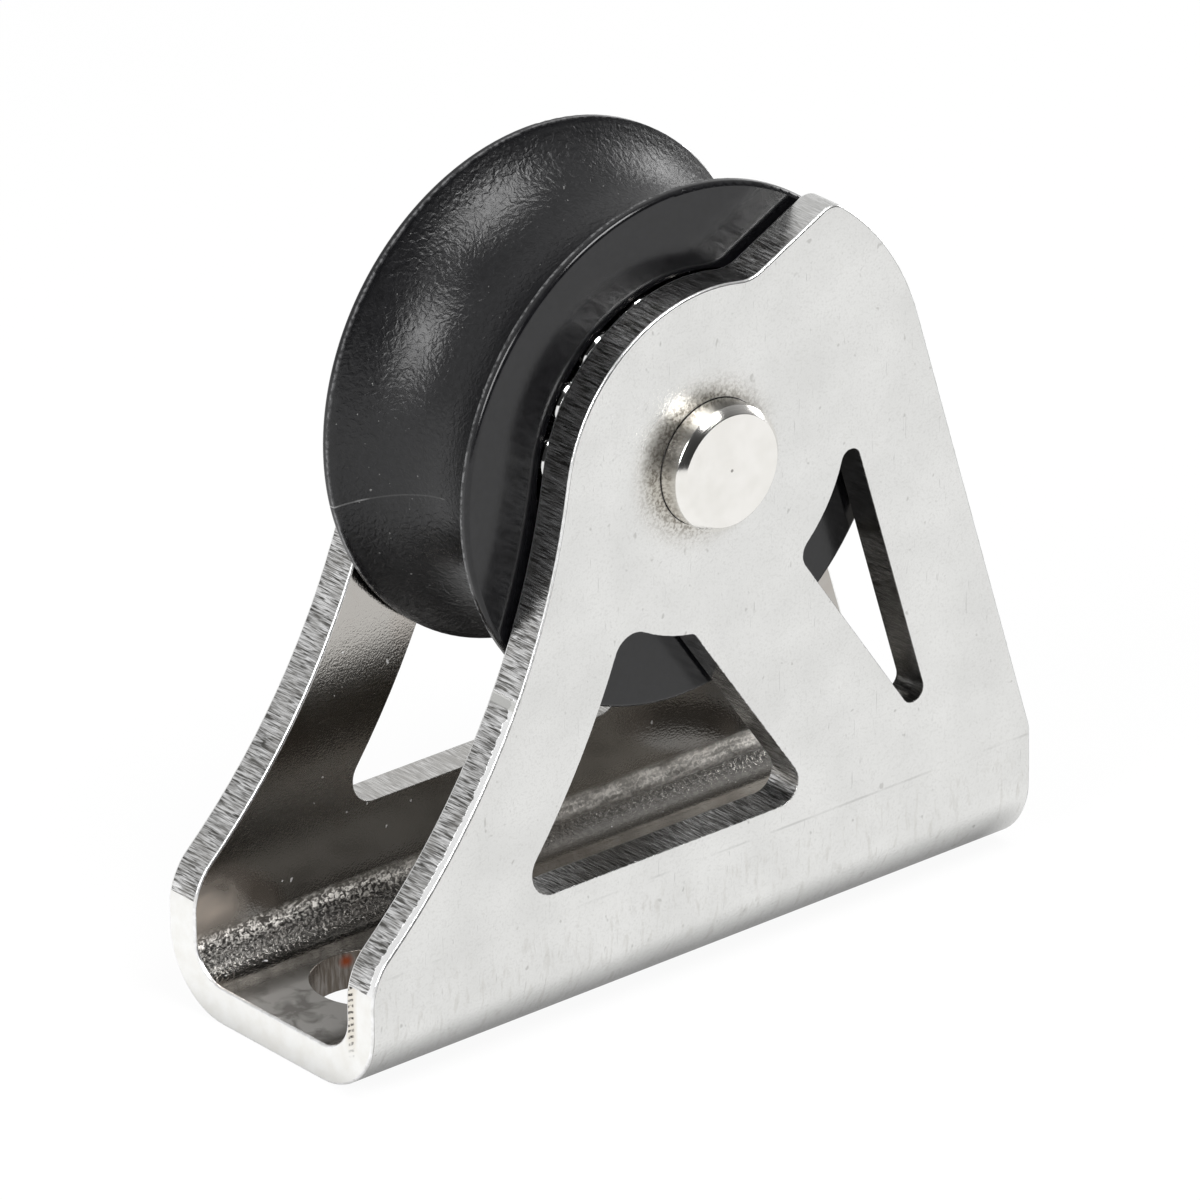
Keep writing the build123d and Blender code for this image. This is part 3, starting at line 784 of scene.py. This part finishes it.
# A geometry tree that sets one ball at each point of a ring about the pin
def ball_row_tree():
    tree = bpy.data.node_groups.new("ball_row", "GeometryNodeTree")
    sockets = (
        ("Balls", "NodeSocketInt"),
        ("Ring Radius", "NodeSocketFloat"),
        ("Ball Radius", "NodeSocketFloat"),
        ("Middle", "NodeSocketVector"),
        ("Steel", "NodeSocketMaterial"),
    )
    named = {
        name: tree.interface.new_socket(name, in_out="INPUT", socket_type=kind).identifier
        for name, kind in sockets
    }
    tree.interface.new_socket("Row", in_out="OUTPUT", socket_type="NodeSocketGeometry")
    given = tree.nodes.new("NodeGroupInput").outputs
    ring = add(
        tree, "GeometryNodeMeshCircle", {"Vertices": given["Balls"], "Radius": given["Ring Radius"]}
    )
    stood = add(
        tree,
        "GeometryNodeTransform",
        {
            "Geometry": ring.outputs["Mesh"],
            "Translation": given["Middle"],
            "Rotation": (math.radians(90), 0.0, 0.0),
        },
    )
    ball = add(
        tree,
        "GeometryNodeMeshUVSphere",
        {"Segments": 40, "Rings": 24, "Radius": given["Ball Radius"]},
    )
    smooth = add(tree, "GeometryNodeSetShadeSmooth", {"Geometry": ball.outputs["Mesh"]})
    row = add(
        tree,
        "GeometryNodeInstanceOnPoints",
        {"Points": stood.outputs["Geometry"], "Instance": smooth.outputs["Geometry"]},
    )
    real = add(tree, "GeometryNodeRealizeInstances", {"Geometry": row.outputs["Instances"]})
    dressed = add(
        tree,
        "GeometryNodeSetMaterial",
        {"Geometry": real.outputs["Geometry"], "Material": given["Steel"]},
    )
    finish = tree.nodes.new("NodeGroupOutput")
    tree.links.new(dressed.outputs["Geometry"], finish.inputs["Row"])
    return tree, named


row_tree, row_inputs = ball_row_tree()
ball_steel = bearing_steel()
for side_name in ("near", "far"):
    balls = [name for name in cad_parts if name.startswith(f"{side_name}_ball_")]
    first_low, first_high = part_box(f"{side_name}_ball_01")
    first_middle = (Vector(first_low) + Vector(first_high)) / 2
    row_middle = Vector((pin_x * mm, first_middle.y, pin_z * mm))
    row = bpy.data.objects.new(f"{side_name}_ball_row_set", bpy.data.meshes.new("row"))
    bpy.context.scene.collection.objects.link(row)
    maker = row.modifiers.new("row", "NODES")
    maker.node_group = row_tree
    maker[row_inputs["Balls"]] = len(balls)
    maker[row_inputs["Ring Radius"]] = (first_middle - row_middle).length
    maker[row_inputs["Ball Radius"]] = (first_high[0] - first_low[0]) / 2
    maker[row_inputs["Middle"]] = row_middle
    maker[row_inputs["Steel"]] = ball_steel
    apply_modifiers(row)
    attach(row, f"{side_name}_ball_row")
    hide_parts(*balls)


# Floor, walls, lamps and camera: a sheet of white paper in a dim round room,
# lit by three soft boxes, and seen from the front corner with a long lens.
white = linear("#FFFFFF")
paper_glow_share = 0.93
shade_strength = 0.35
shade_start = -2.0
shade_end = 3.0
pale_wall = 0.65
dark_wall = 0.03
world_strength = 0.35

# The floor, the room and the lamps are sized in metres
floor_half_size = 3.0
room_radius = 1.6
room_foot = -0.01
room_dark_side = (-0.3, -0.95, 0.1)
lamp_distance = 0.7


# One where the camera, a gloss or a clear piece looks straight at the backdrop
def backdrop_seen(tree):
    ray = add(tree, "ShaderNodeLightPath", {}).outputs
    seen = {0: ray["Is Camera Ray"], 1: ray["Is Glossy Ray"]}
    seen = add(tree, "ShaderNodeMath", seen, operation="MAXIMUM")
    seen = {0: seen, 1: ray["Is Transmission Ray"]}
    return add(tree, "ShaderNodeMath", seen, operation="MAXIMUM")


# Stands a built mesh on the stage, in one material
def add_stage_mesh(name, work, material):
    mesh = bpy.data.meshes.new(name)
    work.to_mesh(mesh)
    work.free()
    mesh.materials.append(material)
    thing = bpy.data.objects.new(name, mesh)
    bpy.context.scene.collection.objects.link(thing)
    return thing


# The paper is seen almost at its full white, with a faint shadow. In a gloss
# it is dim under the block and close round it, where the light is kept off
paper, tree = new_material("white_paper_floor")
x, y = places_mm(tree)[:2]
beyond_end = add(tree, "ShaderNodeMath", {0: x}, operation="ABSOLUTE")
beyond_end = add(tree, "ShaderNodeMath", {0: beyond_end, 1: channel_high[0] / mm}, operation="SUBTRACT")
beyond_side = add(tree, "ShaderNodeMath", {0: y}, operation="ABSOLUTE")
beyond_side = add(tree, "ShaderNodeMath", {0: beyond_side, 1: channel_high[1] / mm}, operation="SUBTRACT")
beyond = add(tree, "ShaderNodeMath", {0: beyond_end, 1: beyond_side}, operation="MAXIMUM")
dim = add(tree, "ShaderNodeMapRange", {0: beyond, 1: shade_start, 2: shade_end, 3: 1.0, 4: 0.0})
ray = add(tree, "ShaderNodeLightPath", {}).outputs
dim = add(tree, "ShaderNodeMath", {0: dim, 1: ray["Is Glossy Ray"]}, operation="MULTIPLY")
strength = add(tree, "ShaderNodeMapRange", {0: dim, 3: 1.0, 4: shade_strength})
share = {0: paper_glow_share, 1: backdrop_seen(tree)}
share = add(tree, "ShaderNodeMath", share, operation="MULTIPLY")
diffuse = add(tree, "ShaderNodeBsdfDiffuse", {"Color": "#F4F4F4"})
glow = add(tree, "ShaderNodeEmission", {"Color": white, "Strength": strength})
mixed = add(tree, "ShaderNodeMixShader", {0: share, 1: diffuse, 2: glow})
add(tree, "ShaderNodeOutputMaterial", {"Surface": mixed})
work = bmesh.new()
bmesh.ops.create_grid(work, x_segments=1, y_segments=1, size=floor_half_size)
add_stage_mesh("floor", work, paper)

# The room is pale behind the block and dark on the side it is seen from
room, tree = new_material("dim_room_wall")
place = add(tree, "ShaderNodeTexCoord", {})
towards_dark = {0: place.outputs["Object"], 1: [part / room_radius for part in room_dark_side]}
towards_dark = add(tree, "ShaderNodeVectorMath", towards_dark, operation="DOT_PRODUCT")
wall_light = {0: towards_dark, 1: -0.5, 2: 0.6, 3: pale_wall, 4: dark_wall}
wall_light = add(tree, "ShaderNodeMapRange", wall_light)
glow = add(tree, "ShaderNodeEmission", {"Color": white, "Strength": wall_light})
add(tree, "ShaderNodeOutputMaterial", {"Surface": glow})
work = bmesh.new()
bmesh.ops.create_uvsphere(work, u_segments=48, v_segments=24, radius=room_radius)
below = [vert for vert in work.verts if vert.co.z < room_foot]
bmesh.ops.delete(work, geom=below, context="VERTS")
walls = add_stage_mesh("room_walls", work, room)
walls.visible_camera = False
walls.visible_diffuse = False
walls.visible_shadow = False

# The world is white where it is seen, and lights the block more dimly than that
world = bpy.data.worlds.new("studio")
bpy.context.scene.world = world
world.use_nodes = True
tree = world.node_tree
tree.nodes.clear()
strength = add(tree, "ShaderNodeMapRange", {0: backdrop_seen(tree), 3: world_strength, 4: 1.0})
backdrop = add(tree, "ShaderNodeBackground", {"Color": white, "Strength": strength})
add(tree, "ShaderNodeOutputWorld", {"Surface": backdrop})


# A soft square lamp that faces the block. Its power follows from how bright
# its face is to look at, where white paper is 1
def add_lamp(name, direction, size, brightness):
    light = bpy.data.lights.new(name, "AREA")
    light.shape = "SQUARE"
    light.size = size
    light.energy = brightness * math.pi * size**2
    lamp = bpy.data.objects.new(name, light)
    place = Vector(direction).normalized() * lamp_distance
    lamp.location = place
    lamp.rotation_euler = (-place).to_track_quat("-Z", "Y").to_euler()
    lamp.visible_camera = False
    bpy.context.scene.collection.objects.link(lamp)


add_lamp("top_softbox", (0.07, -0.42, 0.90), 0.33, 10.5)
add_lamp("left_softbox", (-0.84, -0.17, 0.52), 0.36, 8.0)
add_lamp("right_softbox", (0.95, 0.06, 0.24), 0.24, 5.0)

camera_aim = Vector((6.70, 8.20, 21.45)) * mm
camera_distance = 983.0 * mm
camera_azimuth = math.radians(-39.74)
camera_elevation = math.radians(25.24)
camera_roll = math.radians(0.652)
back = Vector(
    (
        math.sin(camera_azimuth) * math.cos(camera_elevation),
        -math.cos(camera_azimuth) * math.cos(camera_elevation),
        math.sin(camera_elevation),
    )
)
camera_data = bpy.data.cameras.new("camera")
camera_data.sensor_width = 36.0
camera_data.lens = 399.5
camera_data.clip_start = 0.01
camera = bpy.data.objects.new("camera", camera_data)
bpy.context.scene.collection.objects.link(camera)
turn = (-back).to_track_quat("-Z", "Y").to_matrix() @ Matrix.Rotation(-camera_roll, 3, "Z")
camera.matrix_world = Matrix.Translation(camera_aim + back * camera_distance) @ turn.to_4x4()
bpy.context.scene.camera = camera
bpy.context.scene.view_settings.view_transform = "Standard"
